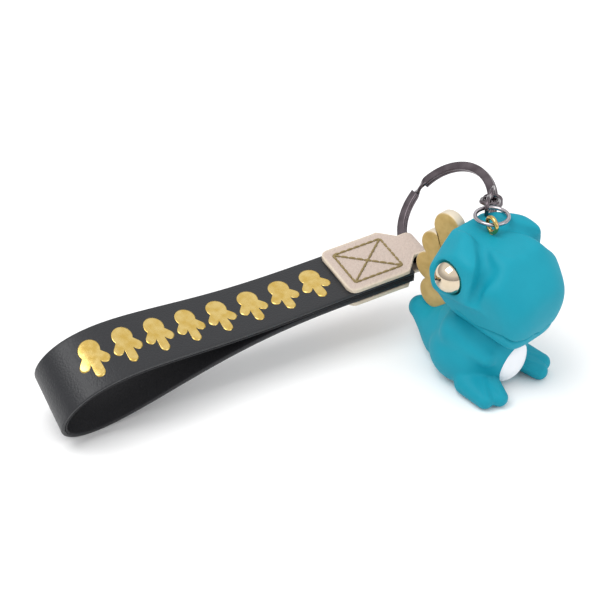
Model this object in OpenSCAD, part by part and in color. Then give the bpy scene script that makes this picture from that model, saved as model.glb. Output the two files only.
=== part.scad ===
// Dinosaur figure keychain: a hollow vinyl figure on a short chain, a split ring and a folded wrist strap.
// Frame: +Z up, the figure faces -Y and stands on z = 0, origin at the middle of its flat underside.
// The strap hangs from the ring and runs off towards -X until its bend rests on the same floor.

/* [Figure] */
// Height of the crown above the floor
crown_height = 44.8; // [40:0.5:54]
// Width of the head across the cheeks
head_width = 28; // [25:0.5:33]
// Length of the head from its back to the tip of the muzzle
head_length = 28.5; // [25:0.5:34]
// Width across the outsides of the feet
stance_width = 26; // [23:0.5:31]
// Length of the body from the chest to the tail
body_length = 37; // [32:0.5:42]
// Wall of the hollow vinyl shells
shell_wall = 1.6; // [1.2:0.1:2.2]

/* [Eyes] */
// Diameter of a mirror eye dome
eye_diameter = 9.4; // [7:0.2:11]
// How far a dome stands out of the cheek
eye_proud = 3; // [2:0.1:4]
// Diameter of the stem that holds a dome
eye_stem = 3; // [2:0.2:4]

/* [Crest] */
// Thickness of the scalloped crest behind the head
crest_thickness = 3; // [2:0.1:4]
// Radius of the arc that the scallops sit on
crest_radius = 16; // [14:0.5:18]
// Radius of one scallop
lobe_radius = 4.3; // [3.5:0.1:5]
// Number of scallops
crest_lobes = 4; // [3:1:6]

/* [Belly] */
// Width of the white belly panel
belly_width = 10.5; // [8:0.5:12]
// Height of the white belly panel
belly_height = 13; // [10.5:0.5:15]
// Thickness of the white belly panel
belly_thickness = 1; // [0.6:0.1:1.4]

/* [Screw eye] */
// Outer diameter of the eye's loop
loop_diameter = 5.2; // [4.6:0.2:6.5]
// Wire of the eye's loop
loop_wire = 1.2; // [0.8:0.1:1.4]
// Diameter of the threaded shank
shank_diameter = 1.8; // [1.4:0.1:2.4]
// Length of the threaded shank below the crown
shank_length = 7; // [5:0.5:9]

/* [Chain] */
// Outer diameter of the round jump ring
jump_diameter = 10; // [8:0.2:12]
// Wire of the jump ring and of the links
chain_wire = 1.1; // [0.8:0.1:1.2]
// Outer length of one oval link
link_length = 8; // [7.4:0.2:10]

/* [Split ring] */
// Outer diameter of the split ring
ring_diameter = 33; // [28:0.5:38]
// Radial width of the flat ring wire
ring_band = 2.5; // [1.8:0.1:2.7]
// Thickness of one of the ring's two coils
coil_thickness = 1; // [0.7:0.05:1.1]

/* [Strap] */
// Width of the strap
strap_width = 18; // [15:0.5:22]
// Length of the strap from the ring's axis to the outside of the bend
strap_length = 113; // [95:1:135]
// Thickness of the outer leather
skin_thickness = 1.1; // [0.8:0.05:1.4]
// Thickness of the inner lining
lining_thickness = 0.65; // [0.4:0.05:0.9]
// Height to which the loop opens, measured across its two leaves
loop_opening = 21; // [14:0.5:26]
// Twist of the band between the tab and the bend, in degrees
strap_twist = 18; // [0:1:20]
// Height of a foil mark across the strap
mark_height = 10; // [7:0.5:12]
// Distance from one foil mark to the next
mark_pitch = 9.2; // [8:0.2:10]
// Number of foil marks
mark_count = 8; // [1:1:8]

/* [Tab] */
// Length of the tab from the ring's axis to its far edge
tab_length = 25; // [22:0.5:30]
// Width of the tab
tab_width = 18.6; // [15.5:0.1:23]
// Width of the narrowed end that folds round the ring
fold_width = 9.5; // [7:0.5:11]
// Thickness of the tab's leather
tab_leather = 1.2; // [0.9:0.05:1.5]
// Diameter of the sewing thread
thread_diameter = 0.6; // [0.4:0.05:0.8]
// Distance from one stitch to the next
stitch_pitch = 2.1; // [1.6:0.1:3]

/* [Hidden] */

gap = 0.05;                    // clearance between pieces glued or pressed together
teal = "#2aa0b8";
gold = "#cfb26e";
steel = "#6f676b";
blob_fn = 22;                  // facets of the soft forms
round_fn = 48;                 // facets of turned parts

// figure
half_head = head_width / 2;
head_back = 9.5;               // the head's back, behind the origin
muzzle_tip = head_length - head_back;
crown = crown_height;
chin = crown * 0.37;           // height of the chin
neck_z = crown * 0.46;         // height at which head and body meet
neck_radius = 5;               // bush inside the neck
neck_y = 2.5;
belly_front = 11;              // front of the belly, ahead of the origin
tail_end = body_length - belly_front;
crest_center = [4.5, crown - 16.3];
crest_first = 51;              // direction of the top scallop
crest_last = -36;              // direction of the bottom scallop
belly_z = 9;                   // middle of the belly panel
belly_curve = 14;              // radius of the panel's face

// screw eye and the anchor it is driven into
eye_y = 0.6;
anchor_radius = 3.4;
anchor_length = shank_length + 1;
anchor_skin = 0.8;             // skin of the crown left above the anchor
loop_z = crown + loop_diameter / 2 + 0.2;
loop_center = [0, eye_y, loop_z];
loop_turn = 345;               // turn of the loop's face from +X

// chain: the jump ring lies flat behind the screw eye, three links run straight on, the last turns to the ring
jump_azimuth = 40;             // direction of the jump ring in plan, from +X
jump_exit = 56;                // where on the jump ring the first link hangs
chain_azimuth = 33;          // direction of the links in plan, from +X
chain_drop = 17.5;               // how steeply the links fall
play = 0.16;                   // play at each contact of two wires
straight_links = 3;
jump_span = jump_diameter - chain_wire;
link_span = link_length - chain_wire;
link_pitch = link_span - chain_wire - play;
link_inner = norm([ring_band, 2 * coil_thickness]) + 0.3;
link_width = link_inner + 2 * chain_wire;
chain_dir = [cos(chain_azimuth) * cos(chain_drop), sin(chain_azimuth) * cos(chain_drop), -sin(chain_drop)];
jump_center = loop_center + jump_span / 2 * [cos(jump_azimuth), sin(jump_azimuth), 0];
jump_end = jump_center + jump_span / 2 * [cos(jump_exit), sin(jump_exit), 0];
straight_end = jump_end + straight_links * link_pitch * chain_dir;

// split ring, hung from the last link
ring_mid = (ring_diameter - ring_band) / 2;
ring_thickness = 2 * coil_thickness;
ring_hang = -41;               // where on the ring the last link sits, from its high side
ring_tilt = 43.7;              // angle of the ring above the floor
ring_gap = 12;                 // half the angle between a coil's two ends
ring_gap_at = 92;              // where the coils cross over, from the ring's high side
link_tilt = 59;                // angle of the last link off the ring's plane
lay_turn = -19.8;              // direction of the ring's low side in plan
lay_roll = 4;                  // roll of the ring about that direction
fold_sag = ring_mid - sqrt(pow(ring_mid, 2) - pow(fold_width / 2, 2));
ring_offset = ring_mid - fold_sag / 2;
link_hold = link_span - chain_wire / 2 - play
    - (ring_band * cos(link_tilt) + ring_thickness * sin(link_tilt)) / 2;
function turn_x(p, a) = [p.x, p.y * cos(a) - p.z * sin(a), p.y * sin(a) + p.z * cos(a)];
function turn_y(p, a) = [p.x * cos(a) + p.z * sin(a), p.y, p.z * cos(a) - p.x * sin(a)];
function turn_z(p, a) = [p.x * cos(a) - p.y * sin(a), p.x * sin(a) + p.y * cos(a), p.z];
function to_ring(p) = turn_z(turn_x(turn_y(p, -ring_tilt), lay_roll), lay_turn);
hang_radial = [cos(ring_hang), sin(ring_hang), 0];
link_up = cos(link_tilt) * hang_radial + [0, 0, sin(link_tilt)];
hang_point = straight_end - (chain_wire + play) * chain_dir - link_hold * to_ring(link_up);
ring_center = hang_point - ring_mid * to_ring(hang_radial);
fold_axis = ring_center - ring_offset * to_ring([1, 0, 0]);

// strap and tab, laid from the fold down to the floor
leaf = skin_thickness + lining_thickness;
fold_slack = 0.55;             // room that lets the ring sit askew in the fold
channel_radius = norm([ring_band, ring_thickness]) / 2 + fold_sag / 2 + fold_slack;
channel_outer = channel_radius + tab_leather;
tab_inner = leaf + gap;        // from the middle plane to the inside of a tab leaf
tab_face = tab_inner + tab_leather;
strap_turn = -15.8;            // direction of the strap in plan
strap_roll = 8.6;              // roll of the strap about its own direction
side_bow = -4.4;               // sideways bend of the strap at its far end
loop_power = 5.4;              // how late the loop opens on its way from the tab
swell = 2 * pow((loop_power + 1) / (loop_power + 2), (loop_power + 1) / 2) / sqrt(loop_power + 2);
strap_start = channel_outer + 0.6;
hidden_steps = 20;             // steps of the path that lie inside the tab
path_steps = 72;
mark_lift = 0.3;               // keeps a flat mark clear of the bowed leather
mark_thickness = 0.1;
corner = 2.5;
stitch_inset = 2.2;
stitch_box = [tab_length - channel_outer - 2 * stitch_inset, tab_width - 2 * stitch_inset];

// Middle line of the strap: straight inside the tab, then a drop-shaped loop that is widest near its end
function loop_x(t) = let (inside = (tab_length - strap_start) / hidden_steps)
    t < 0 ? -tab_length - t * inside
    : t > 360 ? -tab_length + (t - 360) * inside
    : -tab_length - (strap_length - tab_length - leaf / 2) * (1 - cos(t)) / 2;
function loop_z(t) = t < 0 ? (leaf + gap) / 2 : t > 360 ? -(leaf + gap) / 2
    : (loop_opening - leaf) / 2 / swell * sin(t) * pow(sin(t / 2), loop_power) + (leaf + gap) / 2 * cos(t / 2);
function loop_normal(t) = let (e = 0.5, dx = loop_x(t + e) - loop_x(t - e), dz = loop_z(t + e) - loop_z(t - e))
    [dz, -dx] / norm([dx, dz]);
function bow_at(x) = side_bow * pow(max(-x - tab_length, 0) / (strap_length - tab_length), 2);
function twist_at(x) = strap_twist * pow(max(-x - tab_length, 0) / (strap_length - tab_length), 1.5);
function band_point(t, side, off) = let (n = loop_normal(t), x = loop_x(t) + off * n[0])
    turn_x([x, side + bow_at(x), loop_z(t) + off * n[1]], twist_at(x));

// The strap slopes down from the fold until the lowest point of its under side meets the floor
function lowest(rise) = fold_axis.z + min([for (t = [200:5:330]) for (s = [-1, 1])
    turn_x(turn_y(band_point(t, s * strap_width / 2, leaf / 2), -rise), strap_roll).z]);
function rise_from(a, b) = a + (floor_lift - lowest(a)) * (b - a) / (lowest(b) - lowest(a));
floor_lift = 0.1;
lay_rise = rise_from(rise_from(2, 6), 5);

// Shapes used more than once
module ball(p, r) {
    translate(p) sphere(r, $fn = blob_fn);
}

// A round wire bent to a circle of the given outer diameter, flat on the XY plane
module wire_ring(outer, wire) {
    rotate_extrude($fn = round_fn)
        translate([(outer - wire) / 2, 0]) circle(d = wire, $fn = 16);
}

// An oval link, its length along X, flat on the XY plane
module oval_link() {
    straight = link_length - link_width;
    for (s = [0, 180]) rotate([0, 0, s]) {
        translate([straight / 2, 0, 0]) rotate([0, 0, -90])
            rotate_extrude(angle = 180, $fn = round_fn)
                translate([(link_width - chain_wire) / 2, 0]) circle(d = chain_wire, $fn = 16);
        translate([-straight / 2, (link_width - chain_wire) / 2, 0]) rotate([0, 90, 0])
            cylinder(d = chain_wire, h = straight, $fn = 16);
    }
}

// Places its children in the chain's own frame: X along the chain, Z up
module along_chain(p) {
    translate(p) rotate([0, chain_drop, chain_azimuth]) children();
}

// One of the straight run's links, counted from the jump ring
module straight_link(index) {
    along_chain(jump_end + ((index - 1) * link_pitch - chain_wire - play + link_span / 2) * chain_dir)
        rotate([index % 2 == 1 ? 90 : 0, 0, 0]) oval_link();
}

// Places its children in the ring's plane, X towards its high side
module in_ring_plane() {
    translate(ring_center) rotate([0, 0, lay_turn]) rotate([lay_roll, 0, 0]) rotate([0, -ring_tilt, 0])
        children();
}

// Places its children in the strap's frame: X towards the ring, Z out of the front leaf
module in_lay() {
    translate(fold_axis) rotate([0, 0, strap_turn]) rotate([strap_roll, 0, 0]) rotate([0, -lay_rise, 0])
        children();
}

// One layer of the strap, between two distances from its middle line
module band(low, high) {
    side = strap_width / 2;
    rings = [for (i = [0:path_steps]) let (t = -hidden_steps + (360 + 2 * hidden_steps) * i / path_steps)
        [band_point(t, -side, low), band_point(t, side, low),
            band_point(t, side, high), band_point(t, -side, high)]];
    points = [for (r = rings) for (p = r) p];
    walls = [for (i = [0:path_steps - 1]) for (j = [0:3])
        let (a = 4 * i + j, b = 4 * i + (j + 1) % 4) each [[a, b, b + 4], [a, b + 4, a + 4]]];
    last = 4 * path_steps;
    polyhedron(points, concat(walls, [[3, 2, 1], [3, 1, 0], [last, last + 1, last + 2], [last, last + 2, last + 3]]));
}

// One three-toed footprint, toes towards +Y
module footprint() {
    pad = mark_height * 0.27;
    translate([0, -mark_height / 2 + pad]) circle(pad, $fn = 24);
    for (a = [-38, 0, 38]) translate([0, -mark_height / 2 + pad]) rotate(a) {
        toe = a == 0 ? mark_height - 2.4 * pad : mark_height - 3 * pad;
        translate([-pad * 0.36, 0]) square([pad * 0.72, toe]);
        translate([0, toe]) circle(pad * 0.5, $fn = 20);
    }
}

// A run of stitches from one point to another
module stitch_run(from, to) {
    run = to - from;
    count = max(2, round(norm(run) / stitch_pitch));
    for (i = [0:count - 1]) let (a = from + run * (i + 0.14) / count, b = from + run * (i + 0.86) / count)
        translate([a.x, a.y, 0]) rotate([0, 90, atan2(run.y, run.x)])
            cylinder(d = thread_diameter, h = norm(b - a), $fn = 8);
}

// A stitched box with a cross in it
module stitch_pattern() {
    left = -tab_length + stitch_inset;
    right = left + stitch_box.x;
    half = stitch_box.y / 2;
    corners = [[left, -half], [right, -half], [right, half], [left, half]];
    for (i = [0:3]) stitch_run(corners[i], corners[(i + 1) % 4]);
    mid = (corners[0] + corners[2]) / 2;
    for (i = [0:3]) stitch_run(mid + (corners[i] - mid) * 0.08, mid + (corners[i] - mid) * 0.94);
}

// Figure
// Outer form of the head, or its cavity when shrunk by the wall
module head_form(shrink) {
    w = half_head;
    hull() {
        for (s = [-1, 1]) {
            ball([s * (w - 6), head_back - 6, crown - 6.8], 6 - shrink);
            ball([s * (w - 6.4), head_back - 7, chin + 11], 6.2 - shrink);
            ball([s * (w - 7.5), 5 - muzzle_tip * 0.7, crown - 7.5], 5 - shrink);
            ball([s * (w - 7), 5.4 - muzzle_tip, crown - 14.2], 5.2 - shrink);
            ball([s * (w - 8.5), 9.5 - muzzle_tip, chin + 4.6], 4.6 - shrink);
        }
        ball([0, eye_y, crown - 6], 6 - shrink);
    }
}

module brow(s) {
    hull() {
        ball([s * (half_head - 4.4), 3.4, crown - 2.6], 4.2);
        ball([s * (half_head - 4.7), -3.4, crown - 2.7], 4);
        ball([s * (half_head - 5), -1, crown - 6], 4.6);
    }
}

// Body without legs, or its cavity when shrunk by the wall
module torso_form(shrink) {
    hull() {
        ball([0, tail_end - 10, 8.6], 10 - shrink);
        ball([0, 9 - belly_front, 13.5], 9 - shrink);
        ball([0, 8.4 - belly_front, 7.6], 8.2 - shrink);
        ball([0, 5.5, neck_z - 5.5], 9 - shrink);
    }
}

module leg(s) {
    hip = stance_width / 2;
    hull() {
        ball([s * (hip - 4.2), 3.5, 7], 5);
        ball([s * (hip - 4), -3, 9], 4);
        ball([s * (hip - 3.2), -7.5, 2.4], 3);
    }
    for (toe = [-1, 1]) hull() {
        ball([s * (hip - 4 + toe * 1.9), -3, 3], 3);
        ball([s * (hip - 4.6 + toe * 2.3), -belly_front - 0.2 + toe * s * 0.3, 2.2], 2.5);
    }
}

module arm(s) {
    hull() {
        ball([s * 8.6, -4, 16], 3.6);
        ball([s * 8, -belly_front + 1, 12.5], 2.4);
    }
}

module floor_cut() {
    translate([-60, -60, -40]) cube([120, 120, 40]);
}

module eye_space(s, grow) {
    radius = eye_diameter / 2;
    middle = half_head - 1.6 + eye_proud - radius;
    translate([s * middle, 2.5, crown - 7.8]) rotate([0, -s * 90, 0]) rotate_extrude($fn = round_fn)
        intersection() {
            union() {
                circle(radius + grow, $fn = round_fn);
                translate([-radius, 0]) square([radius + eye_stem / 2 + grow, radius + 1.2]);
            }
            translate([0, -2 * radius]) square(4 * radius);
        }
}

// The crest, in the plane of symmetry: scallops on an arc, cut back to follow the back of the head
module crest_plate(grow) {
    tall = crest_thickness + 2 * grow;
    steps = 12;
    sweep = crest_last - crest_first;
    root = crest_radius - lobe_radius * 0.4;
    rotate([90, 0, 90]) translate([0, 0, -tall / 2]) difference() {
        translate(crest_center) union() {
            for (i = [0:crest_lobes - 1]) rotate([0, 0, crest_first + sweep * i / (crest_lobes - 1)])
                translate([crest_radius, 0, 0]) cylinder(r = lobe_radius + grow, h = tall, $fn = round_fn);
            linear_extrude(tall) polygon(concat([[0, 0]], [for (i = [0:steps])
                let (a = crest_first + sweep * i / steps) root * [cos(a), sin(a)]]));
        }
        translate([-3, crown - 13.8, -1]) cylinder(r = 11 - grow, h = tall + 2, $fn = round_fn);
    }
}

// The shell-shaped space that the belly panel fills
module belly_space(grow) {
    bow = [0, belly_curve - belly_front - 0.3, belly_z];
    intersection() {
        difference() {
            translate(bow) sphere(belly_curve + grow * 6, $fn = round_fn);
            translate(bow) sphere(belly_curve - belly_thickness - grow, $fn = round_fn);
        }
        translate([0, 0, belly_z]) rotate([90, 0, 0]) linear_extrude(40) {
            straight = belly_height - belly_width;
            square([belly_width + 2 * grow, straight], center = true);
            for (s = [-1, 1]) translate([0, s * straight / 2]) circle(belly_width / 2 + grow, $fn = round_fn);
        }
    }
}

module head_shell() {
    color(teal) difference() {
        union() {
            head_form(0);
            for (s = [-1, 1]) brow(s);
        }
        head_form(shell_wall);
        translate([0, neck_y, 0]) cylinder(r = neck_radius + gap, h = chin + 11, $fn = round_fn);
        translate([0, eye_y, crown / 2]) cylinder(d = shank_diameter + 2 * gap, h = crown, $fn = round_fn);
        translate([0, eye_y, crown / 2])
            cylinder(r = anchor_radius + gap, h = crown / 2 - anchor_skin, $fn = round_fn);
        for (s = [-1, 1]) eye_space(s, gap);
        crest_plate(gap);
    }
}

module crest() {
    color(gold) crest_plate(0);
}

module eye(s) {
    color("#d8b79a") eye_space(s, 0);
}

module eye_left() { eye(1); }
module eye_right() { eye(-1); }

module body_shell() {
    color(teal) difference() {
        union() {
            torso_form(0);
            for (s = [-1, 1]) {
                leg(s);
                arm(s);
            }
        }
        torso_form(shell_wall + 0.4);
        head_form(-gap);
        for (s = [-1, 1]) brow(s);
        translate([0, neck_y, neck_z - 8]) cylinder(r = neck_radius + gap, h = 30, $fn = round_fn);
        belly_space(gap);
        crest_plate(gap);
        floor_cut();
    }
}

// A bush that joins the two shells
module neck_plug() {
    color("#d9d6cf") translate([0, neck_y, neck_z - 6])
        cylinder(r = neck_radius, h = 11, $fn = round_fn);
}

module belly_panel() {
    color("white") belly_space(0);
}

module anchor_plug() {
    color("#d9d6cf") difference() {
        translate([0, eye_y, crown - anchor_skin - gap - anchor_length])
            cylinder(r = anchor_radius, h = anchor_length, $fn = round_fn);
        translate([0, eye_y, crown - shank_length - gap])
            cylinder(d = shank_diameter + 2 * gap, h = shank_length, $fn = round_fn);
    }
}

module screw_eye() {
    color("#d6a84e") translate([0, eye_y, 0]) {
        translate([0, 0, loop_z]) rotate([90, 0, loop_turn + 90]) wire_ring(loop_diameter, loop_wire);
        translate([0, 0, crown - shank_length])
            cylinder(d = shank_diameter, h = shank_length + 0.2 + loop_wire * 0.8, $fn = round_fn);
    }
}

// Chain and ring
module jump_ring() {
    color("silver") translate(jump_center) wire_ring(jump_diameter, chain_wire);
}

module chain_link_1() { color(steel) straight_link(1); }
module chain_link_2() { color(steel) straight_link(2); }
module chain_link_3() { color(steel) straight_link(3); }

// The last link hangs from the third and holds the ring: its length lies along link_up, its face along the ring
module chain_link_4() {
    color(steel) in_ring_plane()
        rotate([0, 0, ring_hang]) translate([ring_mid, 0, 0]) rotate([0, -link_tilt, 0])
            translate([link_hold - link_span / 2, 0, 0]) rotate([90, 0, 0]) oval_link();
}

// A length of flat wire bent round the ring's axis
module flat_wire(from, angle, wide, thick) {
    rotate([0, 0, from]) rotate_extrude(angle = angle, $fn = 96)
        translate([ring_mid - wide / 2, -thick / 2]) square([wide, thick]);
}

// Two coils of one flat wire, lying on each other, with the wire crossing over between their ends
module split_ring() {
    color(steel) in_ring_plane() {
        flat_wire(ring_gap_at + ring_gap, 360 - 2 * ring_gap, ring_band, ring_thickness);
        flat_wire(ring_gap_at - 2 * ring_gap, 4 * ring_gap, ring_band - 2 * gap, coil_thickness);
    }
}

// Tab and strap
// Side view of the tab: two leaves joined by the fold round the ring
module tab_profile() {
    difference() {
        union() {
            circle(channel_outer, $fn = round_fn);
            translate([-tab_length, -tab_face]) square([tab_length, 2 * tab_face]);
        }
        circle(channel_radius, $fn = round_fn);
        translate([-tab_length - 1, -tab_inner]) square([tab_length + 1, 2 * tab_inner]);
    }
}

// Plan of the tab: round corners at the strap's end, narrowed towards the fold
module tab_plan() {
    half = tab_width / 2;
    left = -tab_length + corner;
    for (s = [-1, 1]) translate([left, s * (half - corner)]) circle(corner, $fn = round_fn);
    translate([left - corner, corner - half]) square([corner, 2 * (half - corner)]);
    polygon([[left, -half], [-channel_outer - 2, -half], [0, -fold_width / 2], [channel_outer + 1, -fold_width / 2],
        [channel_outer + 1, fold_width / 2], [0, fold_width / 2], [-channel_outer - 2, half], [left, half]]);
}

module tab_leather_fold() {
    color("#d9c8bd") in_lay() intersection() {
        rotate([90, 0, 0]) translate([0, 0, -tab_width]) linear_extrude(2 * tab_width) tab_profile();
        translate([0, 0, -2 * channel_outer]) linear_extrude(4 * channel_outer) tab_plan();
    }
}

module strap_skin() {
    color("#2b2b2f") in_lay() band(leaf / 2 - skin_thickness + gap / 2, leaf / 2);
}

module strap_lining() {
    color("#202023") in_lay() band(-leaf / 2, leaf / 2 - skin_thickness - gap / 2);
}

module stitches_front() {
    color("#a8925e") in_lay() translate([0, 0, tab_face + gap + thread_diameter / 2]) stitch_pattern();
}

module stitches_back() {
    color("#a8925e") in_lay() translate([0, 0, -tab_face - gap - thread_diameter / 2]) stitch_pattern();
}

// Foil marks on the outside of the upper leaf, each laid on the strap where it sits
module foil_marks() {
    color(gold) in_lay() for (i = [0:mark_count - 1]) {
        x = -tab_length - mark_pitch * (i + 0.75);
        t = acos(1 - 2 * (-x - tab_length) / (strap_length - tab_length - leaf / 2));
        n = loop_normal(t);
        rotate([twist_at(x), 0, 0])
            translate([x, bow_at(x), loop_z(t)]) rotate([0, atan2(n[0], n[1]), 0])
                translate([0, 0, leaf / 2 + mark_lift]) linear_extrude(mark_thickness) footprint();
    }
}

head_shell();
crest();
eye_left();
eye_right();
body_shell();
neck_plug();
belly_panel();
anchor_plug();
screw_eye();
jump_ring();
chain_link_1();
chain_link_2();
chain_link_3();
chain_link_4();
split_ring();
tab_leather_fold();
strap_skin();
strap_lining();
stitches_front();
stitches_back();
foil_marks();
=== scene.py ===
import bmesh
import bpy
import math
import numpy as np
from mathutils import Matrix


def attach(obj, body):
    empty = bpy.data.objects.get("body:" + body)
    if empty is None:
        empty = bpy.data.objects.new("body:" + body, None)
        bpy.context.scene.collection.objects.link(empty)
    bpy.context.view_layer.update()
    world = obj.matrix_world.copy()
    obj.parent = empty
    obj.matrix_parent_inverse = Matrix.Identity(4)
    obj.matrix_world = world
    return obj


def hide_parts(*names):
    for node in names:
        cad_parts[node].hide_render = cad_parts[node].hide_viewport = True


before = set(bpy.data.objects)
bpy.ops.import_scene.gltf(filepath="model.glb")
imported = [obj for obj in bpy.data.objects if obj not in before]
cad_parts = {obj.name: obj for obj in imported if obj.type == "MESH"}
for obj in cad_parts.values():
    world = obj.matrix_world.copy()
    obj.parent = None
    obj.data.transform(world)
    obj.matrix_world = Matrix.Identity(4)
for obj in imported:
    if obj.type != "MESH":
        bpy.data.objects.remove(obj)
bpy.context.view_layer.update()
vec = np.array
rad = math.pi / 180
pieces = []  # every finished piece of the object


# Cosine and sine of degrees
def cosd(a):
    return np.cos(np.asarray(a) * rad)


def sind(a):
    return np.sin(np.asarray(a) * rad)


def unit(v):
    v = np.asarray(v, float)
    return v / np.maximum(np.linalg.norm(v, axis=-1, keepdims=True), 1e-12)


# Turns about the axes, on arrays of points (mm)
def turnX(p, a):
    x, y, z = p[..., 0], p[..., 1], p[..., 2]
    return np.stack([x, y * cosd(a) - z * sind(a), y * sind(a) + z * cosd(a)], -1)


def turnY(p, a):
    x, y, z = p[..., 0], p[..., 1], p[..., 2]
    return np.stack([x * cosd(a) + z * sind(a), y, z * cosd(a) - x * sind(a)], -1)


def turnZ(p, a):
    x, y, z = p[..., 0], p[..., 1], p[..., 2]
    return np.stack([x * cosd(a) - y * sind(a), x * sind(a) + y * cosd(a), z], -1)


# A mesh from points in mm. uv is one pair per point, rim one number per point
def makeMesh(name, points, faces, material, body, nodes, uv=None, rim=None):
    points = np.asarray(points, float).reshape(-1, 3) / 1000
    me = bpy.data.meshes.new(name)
    me.from_pydata([tuple(p) for p in points], [], [tuple(int(i) for i in f) for f in faces])
    me.polygons.foreach_set("use_smooth", [True] * len(me.polygons))
    if uv is not None:
        layer = me.uv_layers.new(name="UVMap")
        loops = np.empty(len(me.loops), np.int32)
        me.loops.foreach_get("vertex_index", loops)
        layer.data.foreach_set("uv", np.asarray(uv, float).reshape(-1, 2)[loops].ravel())
    if rim is not None:
        at = me.attributes.new("rim", "FLOAT", "POINT")
        at.data.foreach_set("value", np.asarray(rim, np.float32).ravel())
    me.materials.append(material)
    me.update()
    ob = bpy.data.objects.new(name, me)
    bpy.context.scene.collection.objects.link(ob)
    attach(ob, body)
    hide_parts(*nodes)
    pieces.append(ob)


# Faces of a grid of nu x nv points, closed in either direction; offset counts points already used
def gridFaces(nu, nv, closeU=False, closeV=False, offset=0, flip=False):
    iu = np.arange(nu if closeU else nu - 1)
    iv = np.arange(nv if closeV else nv - 1)
    a, b = np.meshgrid(iu, iv, indexing="ij")
    a2, b2 = (a + 1) % nu, (b + 1) % nv
    f = np.stack([a * nv + b, a2 * nv + b, a2 * nv + b2, a * nv + b2], -1).reshape(-1, 4) + offset
    return f[:, ::-1] if flip else f


# Sweeps a closed profile (side, up) along a path; frames gives the side and up directions at each path point
def sweep(path, side, up, profile, closed=False):
    n, m = len(path), len(profile)
    prof = np.broadcast_to(profile, (n, m, 2)) if profile.ndim == 2 else profile
    pts = path[:, None] + prof[..., :1] * side[:, None] + prof[..., 1:] * up[:, None]
    faces = [tuple(f) for f in gridFaces(n, m, closeU=closed, closeV=True)]
    if not closed:
        faces += [tuple(range(m - 1, -1, -1)), tuple(range((n - 1) * m, n * m))]
    return pts.reshape(-1, 3), faces


# A cube's six faces pushed out to a sphere, welded: unit directions and quads facing outward
def sphereGrid(n):
    t = np.tan(np.linspace(-math.pi / 4, math.pi / 4, n + 1))
    u, v = np.meshgrid(t, t, indexing="ij")
    one = np.ones_like(u)
    dirs, faces, count = [], [], 0
    for p in ((one, u, v), (-one, v, u), (v, one, u), (u, -one, v), (u, v, one), (v, u, -one)):
        dirs.append(np.stack(p, -1).reshape(-1, 3))
        faces.append(gridFaces(n + 1, n + 1, offset=count))
        count += (n + 1) ** 2
    d = np.concatenate(dirs)
    f = np.concatenate(faces)
    key = np.round(d / np.abs(d).max(1, keepdims=True) * 1e5).astype(np.int64)
    _, first, back = np.unique(key, axis=0, return_index=True, return_inverse=True)
    return unit(d[first]), back.ravel()[f]


# Profile of a rounded rectangle, counted round from its lower right
def roundRect(w, h, r, k=5):
    out = []
    x, y = w / 2 - r, h / 2 - r
    for cx, cy, a0 in ((x, -y, -90), (x, y, 0), (-x, y, 90), (-x, -y, 180)):
        a = np.linspace(a0, a0 + 90, k)
        out.append(np.stack([cx + r * cosd(a), cy + r * sind(a)], -1))
    return np.concatenate(out)


# Signed shapes in mm, negative inside. softMin melts shapes together: the log of the summed exponentials
def softMin(parts, k):
    m = np.min(parts, 0)
    return m - k * np.log(sum(np.exp(-(p - m) / k) for p in parts))


def softMax(a, b, k):
    return -softMin([-a, -b], k)


# A cone with round ends between two balls
def roundCone(p, a, b, ra, rb):
    a, b = vec(a, float), vec(b, float)
    ab = b - a
    t = np.clip(((p - a) @ ab) / (ab @ ab), 0, 1)
    return np.linalg.norm(p - a - t[..., None] * ab, axis=-1) - (ra + (rb - ra) * t)


# An ellipsoid: distance scaled by its own gradient
def egg(p, c, r):
    r = vec(r, float)
    q = (p - vec(c, float)) / r
    k0 = np.linalg.norm(q, axis=-1)
    k1 = np.linalg.norm(q / r, axis=-1)
    return k0 * (k0 - 1) / np.maximum(k1, 1e-9)


# A convex form cut by planes (direction, distance from its centre), its edges rounded by the power
def gem(p, c, planes, power):
    q = p - vec(c, float)
    s = 0
    for n, h in planes:
        s = s + np.maximum(q @ unit(vec(n, float)) / h, 0) ** power
    size = min(h for _, h in planes)
    return (s ** (1 / power) - 1) * size


# sRGB hex to linear
def colour(h):
    c = [int(h[i:i + 2], 16) / 255 for i in (1, 3, 5)]
    return tuple((x / 12.92 if x <= 0.04045 else ((x + 0.055) / 1.055) ** 2.4) for x in c) + (1.0,)


def newMaterial(name):
    m = bpy.data.materials.new(name)
    m.use_nodes = True
    t = m.node_tree
    return m, t, t.nodes["Principled BSDF"]


# Adds a node with its links, input values, colour stops and settings
def add(t, kind, links={}, values={}, stops=(), **settings):
    n = t.nodes.new(kind)
    for k, v in settings.items():
        setattr(n, k, v)
    for k, v in values.items():
        n.inputs[k].default_value = v
    for k, source in links.items():
        t.links.new(source, n.inputs[k])
    while stops and len(n.color_ramp.elements) < len(stops):
        n.color_ramp.elements.new(0.5)
    for i, (place, col) in enumerate(stops):
        n.color_ramp.elements[i].position = place
        n.color_ramp.elements[i].color = colour(col) if isinstance(col, str) else col
    return n


# Sets the shader's own sockets
def setBase(b, rough, spec=None, col=None, metallic=None):
    b.inputs["Roughness"].default_value = rough
    if spec is not None:
        b.inputs["Specular IOR Level"].default_value = spec
    if col is not None:
        b.inputs["Base Color"].default_value = colour(col)
    if metallic is not None:
        b.inputs["Metallic"].default_value = metallic


# Base colour mixed to another by the piece's own rim attribute
def rimMix(t, base, rimColour):
    rim = add(t, "ShaderNodeAttribute", attribute_name="rim").outputs["Fac"]
    mix = add(t, "ShaderNodeMix", {0: rim, 6: base}, {7: colour(rimColour)}, data_type="RGBA")
    return mix.outputs[2]


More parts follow.
